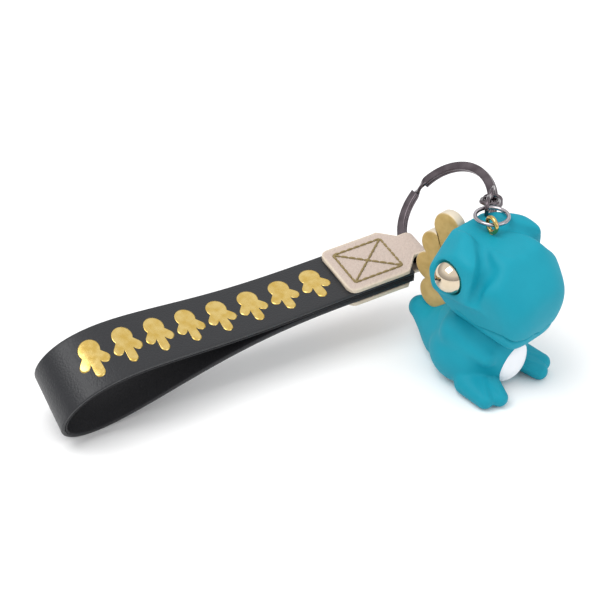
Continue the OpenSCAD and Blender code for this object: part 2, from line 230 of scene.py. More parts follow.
# Soft-touch teal vinyl: nearly even colour, broad dull sheen, a very fine skin
def tealVinyl():
    m, t, b = newMaterial("teal vinyl, soft-touch")
    co = add(t, "ShaderNodeTexCoord").outputs["Object"]
    setBase(b, 0.6, 0.25)
    drift = add(t, "ShaderNodeTexNoise", {"Vector": co}, {"Scale": 90, "Detail": 4}).outputs[0]
    tint = add(t, "ShaderNodeValToRGB", {0: drift}, stops=[(0.3, "#068da2"), (0.7, "#0a94a9")]).outputs[0]
    skin = add(t, "ShaderNodeTexNoise", {"Vector": co}, {"Scale": 5200, "Detail": 2}).outputs[0]
    relief = add(t, "ShaderNodeBump", {"Height": skin}, {"Distance": 0.00002, "Strength": 0.5}).outputs[0]
    t.links.new(tint, b.inputs["Base Color"])
    t.links.new(relief, b.inputs["Normal"])
    return m


# Muted gold paint on vinyl: faint flakes in it, and a pale beige rim that is a painted highlight, the light
# caught by the crest's upward-facing edge
def crestPaint():
    m, t, b = newMaterial("muted gold paint, painted highlight on rim")
    co = add(t, "ShaderNodeTexCoord").outputs["Object"]
    setBase(b, 0.42, 0.5, metallic=0.25)
    flakes = add(t, "ShaderNodeTexNoise", {"Vector": co}, {"Scale": 420, "Detail": 5}).outputs[0]
    gold = add(t, "ShaderNodeValToRGB", {0: flakes}, stops=[(0.35, "#b89a5a"), (0.65, "#c8ab6c")]).outputs[0]
    skin = add(t, "ShaderNodeTexNoise", {"Vector": co}, {"Scale": 2500, "Detail": 3}).outputs[0]
    relief = add(t, "ShaderNodeBump", {"Height": skin}, {"Distance": 0.00003, "Strength": 0.5}).outputs[0]
    # The pale beige mixed in on the rim is a painted highlight: the light on the crest's edge, not the colour
    # of the paint
    t.links.new(rimMix(t, gold, "#d9cdb8"), b.inputs["Base Color"])
    t.links.new(relief, b.inputs["Normal"])
    return m


# Plated metal: colour and roughness drift a little over the piece, as polishing leaves them
def metal(name, col, rough, dark, scale=300):
    m, t, b = newMaterial(name)
    co = add(t, "ShaderNodeTexCoord").outputs["Object"]
    setBase(b, rough, col=col, metallic=1.0)
    drift = add(t, "ShaderNodeTexNoise", {"Vector": co}, {"Scale": scale, "Detail": 4}).outputs[0]
    tint = add(t, "ShaderNodeValToRGB", {0: drift}, stops=[(0.35, dark), (0.65, col)]).outputs[0]
    smooth, dull = [(rough * k,) * 3 + (1,) for k in (0.8, 1.25)]
    wear = add(t, "ShaderNodeTexNoise", {"Vector": co}, {"Scale": scale * 2, "Detail": 3}).outputs[0]
    polish = add(t, "ShaderNodeValToRGB", {0: wear}, stops=[(0.3, smooth), (0.7, dull)]).outputs[0]
    t.links.new(tint, b.inputs["Base Color"])
    t.links.new(polish, b.inputs["Roughness"])
    return m


# Leather with a grain of rounded cells, one every so many mm: the height is half the fine noise, less the
# distance from each cell's middle. u runs along and v across, both in mm
def leather(name, light, dark, rough, cell, depth, spec, rimColour=None):
    m, t, b = newMaterial(name)
    uv = add(t, "ShaderNodeUVMap", uv_map="UVMap").outputs[0]
    cells = add(t, "ShaderNodeTexVoronoi", {"Vector": uv}, {"Scale": 1 / cell}).outputs["Distance"]
    grainIn = {"Scale": 3 / cell, "Detail": 4, "Roughness": 0.6}
    fine = add(t, "ShaderNodeTexNoise", {"Vector": uv}, grainIn).outputs[0]
    base = add(t, "ShaderNodeValToRGB", {0: fine}, stops=[(0.35, dark), (0.65, light)]).outputs[0]
    if rimColour:
        base = rimMix(t, base, rimColour)
    setBase(b, rough, spec)
    less = add(t, "ShaderNodeMath", {0: cells}, {1: -1.0}, operation="MULTIPLY").outputs[0]
    half = add(t, "ShaderNodeMath", {0: fine}, {1: 0.5}, operation="MULTIPLY").outputs[0]
    tall = add(t, "ShaderNodeMath", {0: less, 1: half}, operation="ADD").outputs[0]
    relief = add(t, "ShaderNodeBump", {"Height": tall}, {"Distance": depth, "Strength": 1.0}).outputs[0]
    t.links.new(base, b.inputs["Base Color"])
    t.links.new(relief, b.inputs["Normal"])
    return m


# One even colour, for small or matt pieces
def plain(name, col, rough, spec=0.5):
    m, t, b = newMaterial(name)
    setBase(b, rough, spec, col)
    return m


matTeal = tealVinyl()
matCrest = crestPaint()
matMirror = metal("rose-gold mirror plating", "#d9cab4", 0.07, "#cfbfa6")
matWhite = plain("white paint on vinyl", "#eef0f4", 0.45)
matGilt = metal("gilt steel wire", "#d2b676", 0.16, "#bd9f5c")
matSteel = metal("gunmetal plated steel", "#6c6468", 0.16, "#595155")
matBright = metal("bright nickel wire", "#b9b4b8", 0.13, "#a39ea2")
matBlack = leather("black coated leather", "#222327", "#191a1d", 0.42, 0.55, 0.00006, 0.45)
matLining = leather("black lining, cut edge", "#1c1c20", "#141417", 0.6, 0.4, 0.00008, 0.3)
matBeige = leather("pebbled beige leather", "#cbbbb0", "#b9a79c", 0.6, 0.9, 0.00024, 0.35,
                   "#d6c8b4")
matThread = plain("khaki thread", "#8b7a52", 0.7, 0.3)
matFoil = metal("gold foil", "#dcc17a", 0.24, "#cfae5c", 500)
print("materials")

# Head: planes round a centre, brow blocks added, a valley before each brow, sockets and mouth line cut in.
# Each plane is a direction and its distance; sidePlanes and browPlanes hold for both sides, mirrored
head = dict(
    centre=(0, -3, 31), power=22,
    planes=[((0, -0.09, 1), 13.6), ((0, -0.76, 0.65), 14.9), ((0, -1, 0.05), 16.8), ((0, -0.9, -0.42), 17.1),
            ((0, -0.15, -1), 14.5), ((0, 1, 0.1), 13.4), ((0, 0.9, -0.42), 11.4)],
    sidePlanes=[((0.42, -0.72, 0.56), 16.0), ((0.5, -0.86, 0), 18.2), ((0.5, -0.8, -0.36), 18.2),
                ((0.96, 0, -0.275), 12.2), ((0.9, -0.42, 0.05), 15.8), ((0.7, 0, 0.7), 14.4),
                ((0.72, 0.1, -0.68), 13.2)],
    browCentre=(9.5, 0.5, 39), browPower=12, browBlend=0.55,
    browPlanes=[((0.3, -0.95, 0.05), 8.4), ((0.85, -0.5, 0.05), 7.4), ((0.1, -0.3, 0.95), 6.7),
                ((1, 0.12, -0.05), 5.2), ((0.1, 1, 0.1), 8.2), ((-1, 0, 0.35), 5.6), ((0.2, 0, -1), 9.5),
                ((0.7, -0.1, 0.7), 7.2), ((0.5, 0.5, 0.7), 6.6)],
    valley=[((5.5, -0.4, 46.4), 1.0), ((11.2, -7.4, 42.2), 1.5), ((14.3, -5.8, 33.0), 1.0)], valleyBlend=0.9,
    eye=(13.1, 2.4, 36.8), eyeRadius=4.65, socketGap=0.3, socketBlend=0.12)


def mirrored(point, s):
    return vec(point) * vec([s, 1, 1])


def headShape(p):
    planes = head["planes"] + [(mirrored(n, s), h) for n, h in head["sidePlanes"] for s in (-1, 1)]
    parts = [gem(p, head["centre"], planes, head["power"])]
    for s in (-1, 1):
        parts.append(gem(mirrored(p, s), head["browCentre"], head["browPlanes"], head["browPower"]))
    d = softMin(parts, head["browBlend"])
    for s in (-1, 1):
        v = [(mirrored(c, s), r) for c, r in head["valley"]]
        for (a, ra), (b, rb) in zip(v, v[1:]):
            d = softMax(d, -roundCone(p, a, b, ra, rb), head["valleyBlend"])
        fromEye = np.linalg.norm(p - mirrored(head["eye"], s), axis=-1)
        d = softMax(d, head["eyeRadius"] + head["socketGap"] - fromEye, head["socketBlend"])
    return d


# Outermost crossing of each ray from a centre, found by stepping inward and then halving
def castRadial(shape, centre, dirs, far, near=1.5, steps=90, halvings=14):
    centre = vec(centre, float)
    hi = np.full(len(dirs), far, float)
    lo = np.full(len(dirs), near, float)
    done = np.zeros(len(dirs), bool)
    for r in np.linspace(far, near, steps):
        todo = np.flatnonzero(~done)
        if not len(todo):
            break
        inside = shape(centre + dirs[todo] * r) < 0
        lo[todo[inside]] = r
        done[todo[inside]] = True
        hi[todo[~inside]] = r
    for _ in range(halvings):
        mid = (lo + hi) / 2
        inside = shape(centre + dirs * mid[:, None]) < 0
        lo = np.where(inside, mid, lo)
        hi = np.where(inside, hi, mid)
    return (lo + hi) / 2


dirs, quads = sphereGrid(120)
radii = castRadial(headShape, head["centre"], dirs, 27)
pts = vec(head["centre"]) + dirs * radii[:, None]
# Mouth line: a groove at an almost level height round the muzzle, with a few zigzag steps, ending at the
# cheeks. bends holds the line's height at angles from the front; below it the jaw steps back
mouth = dict(z=23.0, axisY=4, depth=1.15, width=0.36, end=82, fade=10, step=0.35, stepFade=12, jaw=2.4,
             bends=[(0, -1.2), (7, 0.0), (14, -0.9), (24, -0.5), (31, 0.9), (40, 0.2), (52, -0.9), (66, 0.6),
                    (90, 2.6)])
ang = np.abs(np.degrees(np.arctan2(pts[:, 0], mouth["axisY"] - pts[:, 1])))
dz = pts[:, 2] - mouth["z"] - np.interp(ang, *zip(*mouth["bends"]))
cut = mouth["depth"] * np.clip((mouth["end"] - ang) / mouth["fade"], 0, 1)
step = mouth["step"] * np.clip((mouth["end"] + 4 - ang) / mouth["stepFade"], 0, 1)
groove = np.exp(-(dz / mouth["width"]) ** 2) * cut + step * np.clip(1 + dz / mouth["jaw"], 0, 1) * (dz < 0)
pts = pts - dirs * groove[:, None]
makeMesh("headShell", pts, quads, matTeal, "figure", ["head_shell"])
print("head")

for s, side, node in ((1, "Left", "eye_left"), (-1, "Right", "eye_right")):
    ball, ballFaces = sphereGrid(28)
    dome = mirrored(head["eye"], s) + ball * head["eyeRadius"]
    makeMesh("eyeDome" + side, dome, ballFaces, matMirror, "figure", [node])
print("eyes")

# Body: round cones (from, to, two radii) and eggs (centre, half sizes) melted together, flat on the floor
body = dict(
    centre=(0, 5, 10), blend=1.1, toeBlend=0.35, footBlend=0.6, soleBlend=0.25,
    tail=((0, 14, 6.8), (0, 23.6, 10.6), 6.8, 3.4), trunk=((0, 12, 7.6), (0, -3.3, 8.6), 7.6, 8.2),
    back=((0, 9, 11), (0, 3.5, 15.5), 7.5, 9.0), chest=((0, -2.4, 13.5), (9.2, 8.9, 8.6)),
    haunch=((8.0, 3.4, 8.2), (5.5, 8.4, 7.6)), arm=((8.4, 3.4, 16.6), (8.3, -7.2, 12.8), 4.4, 2.0),
    toes=[((10.6, -3.0, 3.4), (12.2, -10.6, 2.6), 3.5, 2.5), ((8.8, -4.0, 3.4), (8.6, -12.6, 2.5), 3.4, 2.5)])


def bodyShape(p):
    parts = [roundCone(p, *body[k]) for k in ("tail", "trunk", "back")] + [egg(p, *body["chest"])]
    toes = []
    for s in (-1, 1):
        c, r = body["haunch"]
        a, b, ra, rb = body["arm"]
        parts += [egg(p, mirrored(c, s), r), roundCone(p, mirrored(a, s), mirrored(b, s), ra, rb)]
        toes += [roundCone(p, mirrored(a, s), mirrored(b, s), ra, rb) for a, b, ra, rb in body["toes"]]
    d = softMin([softMin(parts, body["blend"]), softMin(toes, body["toeBlend"])], body["footBlend"])
    return softMax(d, -p[..., 2], body["soleBlend"])


radii = castRadial(bodyShape, body["centre"], dirs, 30, steps=110)
pts = vec(body["centre"]) + dirs * radii[:, None]
pts[:, 2] = np.maximum(pts[:, 2], 0)
makeMesh("bodyShell", pts, quads, matTeal, "figure", ["body_shell", "neck_plug", "anchor_plug"])
print("body")

# Belly: an oval laid on the chest, its rim sunk into it; centre and half are across and up
belly = dict(centre=(0, 8.2), half=(5.6, 6.9), proud=0.4, sunk=0.35, behind=3)
nr, na = 24, 96
rho = np.linspace(0, 1, nr + 1)[1:]
phi = np.linspace(0, 360, na, endpoint=False)
out, turned = np.meshgrid(rho, phi, indexing="ij")
x = belly["centre"][0] + belly["half"][0] * out * cosd(turned)
z = belly["centre"][1] + belly["half"][1] * out * sind(turned)


# The chest's front at (x, z), found by walking back from in front of it by most of the distance left
def chestFront(x, z):
    p = np.stack([x, np.full_like(x, -20.0), z], -1).reshape(-1, 3)
    for _ in range(40):
        away = softMin([roundCone(p, *body["trunk"]), egg(p, *body["chest"])], body["blend"])
        p[:, 1] += np.clip(away, -0.5, 3) * 0.8
    return p[:, 1].reshape(x.shape)


middle = belly["centre"][1]
y0 = chestFront(np.array([[0.0]]), np.array([[middle]]))[0, 0] - belly["proud"]
y = chestFront(x, z) - belly["proud"] * (1 - out ** 10) + belly["sunk"] * out ** 14
skin = np.stack([x, y, z], -1).reshape(-1, 3)
pts = np.concatenate([[[0, y0, middle]], skin, [[0, y0 + belly["behind"], middle]]])
faces = [(0, 1 + i, 1 + (i + 1) % na) for i in range(na)]
faces += [tuple(f) for f in gridFaces(nr, na, closeV=True, offset=1)]
last = 1 + (nr - 1) * na
faces += [(len(pts) - 1, last + (i + 1) % na, last + i) for i in range(na)]
makeMesh("bellyPanel", pts, faces, matWhite, "figure", ["belly_panel"])
print("belly")

# Crest: scallops on an arc. Its outline is the furthest reach of any lobe (direction, distance, radius) in
# each direction from the arc's centre; section holds how far in from the outline, how far across, and how
# much painted highlight the rim gets
crest = dict(centre=(4.5, 28.5), lobes=((51, 16, 4.6), (19.7, 15.6, 4.1), (-8, 16.2, 4.4), (-36, 17.2, 4.7)),
             span=(-52, 69), least=6.0, half=1.5, rootAt=9.0, rootScale=0.62)
half = crest["half"]
# The third number of each step is its share of painted highlight, the pale light on the crest's edge
edge = [(0.45, half, 0), (0.13, half - 0.08, 0.3), (0, half - 0.35, 1)]
section = [(2.2, -half, 0)] + [(i, -x, b) for i, x, b in edge] + [(0, 0, 1)] + edge[::-1] + [(2.2, half, 0)]
ang = np.linspace(*crest["span"], 420)
reach = np.full_like(ang, crest["least"])
for a0, dist, rl in crest["lobes"]:
    away = dist * np.sin((ang - a0) * rad)
    tip = dist * np.cos((ang - a0) * rad) + np.sqrt(np.maximum(rl ** 2 - away ** 2, 0))
    reach = np.maximum(reach, np.where(np.abs(away) < rl, tip, 0))
outline = np.concatenate([vec([[0, 0]]), np.stack([reach * cosd(ang), reach * sind(ang)], -1)])
n = len(outline)
tan = unit(np.roll(outline, -1, 0) - np.roll(outline, 1, 0))
nor = np.stack([tan[:, 1], -tan[:, 0]], -1)
root = vec([crest["rootAt"], 0.0])
rings, rims = [], []
for inset, x, rimLight in section:
    o = root + (outline - root) * crest["rootScale"] if inset > 2 else outline - nor * inset
    rings.append(np.stack([np.full(n, x), crest["centre"][0] + o[:, 0], crest["centre"][1] + o[:, 1]], -1))
    rims.append(np.full(n, rimLight))
poles = vec([[x, crest["centre"][0] + root[0], crest["centre"][1]] for x in (-half, half)])
k = len(section)
faces = [tuple(f) for f in gridFaces(k, n, closeV=True, flip=True)]
faces += [(k * n, i, (i + 1) % n) for i in range(n)]
faces += [(k * n + 1, (k - 1) * n + (i + 1) % n, (k - 1) * n + i) for i in range(n)]
makeMesh("dorsalCrest", np.concatenate(rings + [poles]), [f[::-1] for f in faces], matCrest, "figure",
         ["crest"], rim=np.concatenate(rims + [[0, 0]]))
print("crest")

# Screw eye, chain and ring. Angles in degrees; the names follow the part's own sizes
metalwork = dict(
    crown=44.8, eyeY=0.6, loopD=5.2, loopWire=1.2, loopTurn=-15, jumpD=10, wire=1.1, linkLength=8,
    jumpAzimuth=40, jumpExit=56, azimuth=33, drop=17.5, play=0.16, ringD=33, band=2.5, coil=1.0,
    hang=-41, tilt=43.7, gap=12, gapAt=92, linkTilt=59, layTurn=-19.8, layRoll=4, foldWidth=9.5)
g = metalwork


# A point or direction of the ring's own frame: X to its high side, Z out of its plane
def toRing(p):
    return turnZ(turnX(turnY(vec(p, float), -g["tilt"]), g["layRoll"]), g["layTurn"])


loop = vec([0, g["eyeY"], g["crown"] + g["loopD"] / 2 + 0.2])
jumpSpan = g["jumpD"] - g["wire"]
linkSpan = g["linkLength"] - g["wire"]
pitch = linkSpan - g["wire"] - g["play"]
chainDir = cosd(g["drop"]) * vec([cosd(g["azimuth"]), sind(g["azimuth"]), 0]) - vec([0, 0, sind(g["drop"])])
jumpCentre = loop + jumpSpan / 2 * vec([cosd(g["jumpAzimuth"]), sind(g["jumpAzimuth"]), 0])
jumpEnd = jumpCentre + jumpSpan / 2 * vec([cosd(g["jumpExit"]), sind(g["jumpExit"]), 0])
straightEnd = jumpEnd + 3 * pitch * chainDir
ringMid = (g["ringD"] - g["band"]) / 2
thick = 2 * g["coil"]
linkInner = math.hypot(g["band"], thick) + 0.3
linkWidth = linkInner + 2 * g["wire"]
ringAcross = g["band"] * cosd(g["linkTilt"]) + thick * sind(g["linkTilt"])
hold = linkSpan - g["wire"] / 2 - g["play"] - ringAcross / 2
radial = vec([cosd(g["hang"]), sind(g["hang"]), 0])
linkUp = cosd(g["linkTilt"]) * radial + vec([0, 0, sind(g["linkTilt"])])
hangPoint = straightEnd - (g["wire"] + g["play"]) * chainDir - hold * toRing(linkUp)
ringCentre = hangPoint - ringMid * toRing(radial)
foldWidth = g["foldWidth"]
sag = ringMid - math.sqrt(ringMid ** 2 - (foldWidth / 2) ** 2)
foldAxis = ringCentre - (ringMid - sag / 2) * toRing([1, 0, 0])


# A bent round wire through the points; normal is the plane's normal
def wire(name, path, normal, radius, closed, material, body, nodes):
    step = np.roll(path, -1, 0) - np.roll(path, 1, 0) if closed else np.gradient(path, axis=0)
    tan = unit(step)
    up = np.broadcast_to(unit(vec(normal, float)), tan.shape)
    side = unit(np.cross(tan, up))
    a = np.arange(0, 360, 18)
    pts, faces = sweep(path, side, up, radius * np.stack([cosd(a), sind(a)], -1), closed)
    makeMesh(name, pts, faces, material, body, nodes)


# Points of an arc in the plane of u and v, or of a full circle
def circle(centre, u, v, r, start=0, stop=360, n=96, closed=True):
    a = np.linspace(start, stop, n, endpoint=not closed)
    return vec(centre) + r * (cosd(a)[:, None] * vec(u) + sind(a)[:, None] * vec(v))


# Eye: a loop bent from the shank's own wire, open by a hair where its end meets the shank
lt = g["loopTurn"]
across = vec([-sind(lt), cosd(lt), 0])
axisL = vec([cosd(lt), sind(lt), 0])
bend = circle(loop, across, vec([0, 0, 1]), (g["loopD"] - g["loopWire"]) / 2, -86, 262, 80, closed=False)
shank = vec([loop + vec([0, 0, -h]) for h in (9.6, 6, 4.2, 3.2, 2.6)])
wire("screwEye", np.concatenate([shank, bend[3:]]), axisL, g["loopWire"] / 2, False, matGilt, "figure",
     ["screw_eye"])

level = circle(jumpCentre, vec([1, 0, 0]), vec([0, 1, 0]), jumpSpan / 2)
wire("jumpRing", level, vec([0, 0, 1]), g["wire"] / 2, True, matBright, "jump_ring",
     ["jump_ring"])


# An oval: two half circles joined by straights
def oval(centre, along, across):
    half = (g["linkLength"] - linkWidth) / 2
    r = (linkWidth - g["wire"]) / 2
    a = np.linspace(-90, 90, 28)
    one = half * vec(along) + r * (cosd(a)[:, None] * along + sind(a)[:, None] * across)
    b = a + 180
    two = -half * vec(along) + r * (cosd(b)[:, None] * along + sind(b)[:, None] * across)
    return vec(centre) + np.concatenate([one, two])


ey = vec([-sind(g["azimuth"]), cosd(g["azimuth"]), 0])
ez = np.cross(chainDir, ey)
for i in (1, 2, 3):
    c = jumpEnd + ((i - 1) * pitch - g["wire"] - g["play"] + linkSpan / 2) * chainDir
    acr, nrm = (ez, ey) if i % 2 else (ey, ez)
    wire("chainLink%d" % i, oval(c, chainDir, acr), nrm, g["wire"] / 2, True, matSteel, "link_%d" % i,
         ["chain_link_%d" % i])
up4 = toRing(linkUp)
tan4 = np.cross(toRing([0, 0, 1]), toRing(radial))
c4 = hangPoint + (hold - linkSpan / 2) * up4
wire("chainLink4", oval(c4, up4, np.cross(tan4, up4)), tan4, g["wire"] / 2, True, matSteel, "link_4",
     ["chain_link_4"])
print("chain")

# Split ring: one flat wire wound twice, crossing from the upper to the lower coil between its own ends.
# The crossing eases by 3c^2 - 2c^3 and leans the wire over on the way
crossing = dict(lean=42, air=0.012, edge=0.3, overrun=0.55)
ringUp, ringHigh, ringSide = toRing([0, 0, 1]), toRing([1, 0, 0]), toRing([0, 1, 0])
w = g["gap"]
theta = np.linspace(g["gapAt"] + w * crossing["overrun"], g["gapAt"] - w * crossing["overrun"] + 720, 420)
c = np.clip((theta - (g["gapAt"] - w + 360)) / (2 * w), 0, 1)
coilZ = g["coil"] / 2 * (1 - 2 * (3 * c ** 2 - 2 * c ** 3))
outR = cosd(theta)[:, None] * ringHigh + sind(theta)[:, None] * ringSide
path = ringCentre + ringMid * outR + coilZ[:, None] * ringUp
lean = (crossing["lean"] * np.sin(c * math.pi) ** 2)[:, None]
upR = unit(ringUp * cosd(lean) + outR * sind(lean))
sideR = unit(outR * cosd(lean) - ringUp * sind(lean))
pts, faces = sweep(path, sideR, upR, roundRect(g["band"], g["coil"] - crossing["air"], crossing["edge"]))
makeMesh("splitRing", pts, [f[::-1] for f in faces], matSteel, "split_ring", ["split_ring"])
print("ring")

# Strap: a folded band, laid from the fold down to the floor
strap = dict(width=18, length=113, skin=1.1, lining=0.65, opening=21, power=5.4, twist=18, turn=-15.8,
             roll=8.6, rise=3.71, bow=-4.4, tabLength=25, tabWidth=18.6, leather=1.2,
             gap=0.05, slack=0.55, endGap=0.6)
q = strap
leaf = q["skin"] + q["lining"]
channel = math.hypot(g["band"], thick) / 2 + sag / 2 + q["slack"]
channelOuter = channel + q["leather"]
start = channelOuter + q["endGap"]
tabFace = leaf + q["gap"] + q["leather"]
swell = 2 * ((q["power"] + 1) / (q["power"] + 2)) ** ((q["power"] + 1) / 2) / math.sqrt(q["power"] + 2)
inTab = 20  # how far t runs on inside the tab at each end


def toLay(p):
    return foldAxis + turnZ(turnX(turnY(p, -q["rise"]), q["roll"]), q["turn"])


# Middle line: straight inside the tab (t below 0 or above 360), then a drop-shaped loop, widest near its end
def loopX(t):
    x = -q["tabLength"] - (q["length"] - q["tabLength"] - leaf / 2) * (1 - cosd(t)) / 2
    k = (q["tabLength"] - start) / inTab
    hidden = -q["tabLength"] + np.where(t < 0, -t, t - 360) * k
    return np.where((t < 0) | (t > 360), hidden, x)


def loopZ(t):
    apart = (leaf + q["gap"]) / 2
    loopHalf = (q["opening"] - leaf) / 2 / swell * sind(t) * np.maximum(sind(t / 2), 0) ** q["power"]
    return np.where(t < 0, apart, np.where(t > 360, -apart, loopHalf + apart * cosd(t / 2)))


# A point of the strap: t goes round the loop, s across it, off away from its middle line
def strapPoint(t, s, off):
    t = np.asarray(t, float)
    e = 0.5
    dx, dz = loopX(t + e) - loopX(t - e), loopZ(t + e) - loopZ(t - e)
    ln = np.hypot(dx, dz)
    nx, nz = dz / ln, -dx / ln
    x, z = loopX(t) + off * nx, loopZ(t) + off * nz
    far = np.maximum(-x - q["tabLength"], 0) / (q["length"] - q["tabLength"])
    return toLay(turnX(np.stack([x, s + q["bow"] * far ** 2, z], -1), q["twist"] * far ** 1.5))


# Points spaced evenly by length round the loop
tt = np.linspace(-inTab, 360 + inTab, 4001)
arc = np.concatenate([[0], np.cumsum(np.hypot(np.diff(loopX(tt)), np.diff(loopZ(tt))))])
strapRun = arc[-1]


def atLength(u):
    return np.interp(u, arc, tt)


# A profile with points added along its long sides
def denser(profile, stepsFor):
    out = []
    for a, b in zip(profile, np.roll(profile, -1, 0)):
        steps = stepsFor(abs(b[0] - a[0]))
        out += [a + (b - a) * j / steps for j in range(steps)]
    return vec(out)


# Faces of a tube of nu rings of m points, with flat ends
def tubeFaces(nu, m):
    ends = [tuple(range(m - 1, -1, -1)), tuple(range((nu - 1) * m, nu * m))]
    return [tuple(f) for f in gridFaces(nu, m, closeV=True)] + ends


# One layer of the band between two distances from its middle line
def layer(name, low, high, material, slot, node, edge):
    nu = 420
    profile = denser(roundRect(q["width"], high - low, edge, 4), lambda run: max(1, int(run)))
    u = np.linspace(0, strapRun, nu)
    along, sideways = np.meshgrid(atLength(u), profile[:, 0], indexing="ij")
    away = np.broadcast_to(profile[:, 1] + (low + high) / 2, along.shape)
    uv = np.stack([u[:, None] + 0 * sideways, sideways + away], -1)
    makeMesh(name, strapPoint(along, sideways, away), tubeFaces(*along.shape), material, "strap",
             [node], uv=uv)


seam = 0.02  # half the room between skin and lining
layer("strapSkin", leaf / 2 - q["skin"] + seam, leaf / 2, matBlack, "black_leather", "strap_skin", 0.28)
layer("strapLining", -leaf / 2, leaf / 2 - q["skin"] - seam, matLining, "lining_leather", "strap_lining", 0.2)
print("strap")

# Foil footprints on the upper leaf. Sizes of a foot are shares of its height, those of a toe shares of
# the pad
foil = dict(height=12, pitch=9.9, first=0.66, count=8, lift=0.05, pad=0.25, padBack=0.23,
            toes=((90, 1.6), (54, 2.35), (126, 2.35)), toeRoot=0.36, toeGrow=0.12)


# Radius of a footprint in a direction from its pad's centre: the pad, or the toe that lies that way
def footRadius(a):
    pad = foil["height"] * foil["pad"]
    r = np.full_like(a, pad)
    for c, short in foil["toes"]:
        tip = foil["height"] - short * pad
        d = (a - c + 180) % 360 - 180
        for dist in np.linspace(pad * 0.6, tip, 14):
            rt = pad * (foil["toeRoot"] + foil["toeGrow"] * dist / tip)
            away = dist * sind(d)
            edge = dist * cosd(d) + np.sqrt(np.maximum(rt ** 2 - away ** 2, 0))
            r = np.where((np.abs(away) < rt) & (np.abs(d) < 90), np.maximum(r, edge), r)
    return r


pts, faces, base = [], [], 0
na, nr = 144, 10
a = np.linspace(0, 360, na, endpoint=False)
rho = np.linspace(0, 1, nr + 1)[1:, None] * footRadius(a)
footX, footY = rho * cosd(a), rho * sind(a) - foil["height"] * foil["padBack"]
high, low = leaf / 2 + foil["lift"], leaf / 2 - foil["lift"]
for i in range(foil["count"]):
    u0 = q["tabLength"] - start + foil["pitch"] * (i + foil["first"])
    pad = atLength(vec([u0])), vec([foil["height"] * foil["padBack"]])
    top = strapPoint(atLength(u0 - footX), -footY, high + 0 * footX)
    under = strapPoint(atLength(u0 - footX[-1:]), -footY[-1:], low + 0 * footX[-1:])
    pts += [strapPoint(*pad, vec([high])), top.reshape(-1, 3), under.reshape(-1, 3)]
    pts.append(strapPoint(*pad, vec([low])))
    end = 1 + (nr + 1) * na
    one = [(0, 1 + j, 1 + (j + 1) % na) for j in range(na)]
    one += [tuple(v) for v in gridFaces(nr + 1, na, closeV=True, offset=1)]
    one += [(end, end - na + (j + 1) % na, end - na + j) for j in range(na)]
    faces += [tuple(v + base for v in f) for f in one]
    base += end + 1
makeMesh("foilMarks", np.concatenate(pts), faces, matFoil, "strap", ["foil_marks"])
print("foil")

# Tab: one strip of leather from the rear leaf round the ring to the front leaf. The width narrows to the fold
# and the far corners are round. The leaves rise to the fold by 3d^2 - 2d^3
tab = dict(corner=2.6, edge=0.26, riseRun=9.0, lastFlat=4.0, neckFrom=6.2, neckRun=4.2, rim=0.55,
           endRim=0.8, fade=0.5)
mid = tabFace - q["leather"] / 2
foldR = (channel + channelOuter) / 2


def tabLine(n):
    last = -tab["lastFlat"]
    near = last * (1 - np.linspace(0, 1, 14)[1:])
    xs = np.concatenate([[-q["tabLength"]], np.linspace(-q["tabLength"] + 0.3, last, n), near])
    d = np.clip((xs + tab["riseRun"]) / tab["riseRun"], 0, 1)
    front = np.stack([xs, mid + (foldR - mid) * d ** 2 * (3 - 2 * d)], -1)
    a = np.linspace(90, -90, 34)[1:-1]
    bend = np.stack([foldR * cosd(a), foldR * sind(a)], -1)
    return np.concatenate([front, bend, (front * vec([1, -1]))[::-1]])


line = tabLine(46)
tanT = unit(np.gradient(line, axis=0))
norT = np.stack([-tanT[:, 1], tanT[:, 0]], -1)
halfW = q["tabWidth"] / 2
fromEnd = line[:, 0] + q["tabLength"]
corner = tab["corner"]
roundOff = np.sqrt(np.maximum(corner ** 2 - np.maximum(corner - fromEnd, 0) ** 2, 0.02))
narrow = np.clip((line[:, 0] + tab["neckFrom"]) / tab["neckRun"], 0, 1)
wTab = halfW - corner + roundOff - (halfW - foldWidth / 2) * narrow
# The section is drawn 2 wide: its flat stretches with the strip and its rounded edges keep their size
section = denser(roundRect(2, q["leather"], tab["edge"]), lambda run: 20 if run > 1 else 1)
flatHalf = 1 - tab["edge"]
inEdge = np.abs(section[:, 0]) > flatHalf
sign = np.sign(section[:, 0])
share = np.where(inEdge, sign, section[:, 0] / flatHalf)
inset = np.where(inEdge, section[:, 0] - sign, -tab["edge"] * section[:, 0] / flatHalf)
side = share[None] * wTab[:, None] + inset[None]
off = section[None, :, 1] * np.ones_like(side)
stripX = line[:, :1] + off * norT[:, :1]
stripZ = line[:, 1:] + off * norT[:, 1:]
pts = toLay(np.stack([stripX, side, stripZ], -1))
run = np.concatenate([[0], np.cumsum(np.linalg.norm(np.diff(line, axis=0), axis=1))])
uv = np.stack([run[:, None] + 0 * side, side], -1)
rimT = np.clip((np.abs(side) - (wTab[:, None] - tab["rim"])) / tab["fade"], 0, 1)
rimT = np.maximum(rimT, np.clip((tab["endRim"] - fromEnd[:, None]) / tab["fade"], 0, 1) + 0 * side)
makeMesh("tabLeather", pts, [f[::-1] for f in tubeFaces(*side.shape)], matBeige, "strap",
         ["tab_leather_fold"], uv=uv, rim=rimT)
print("tab")

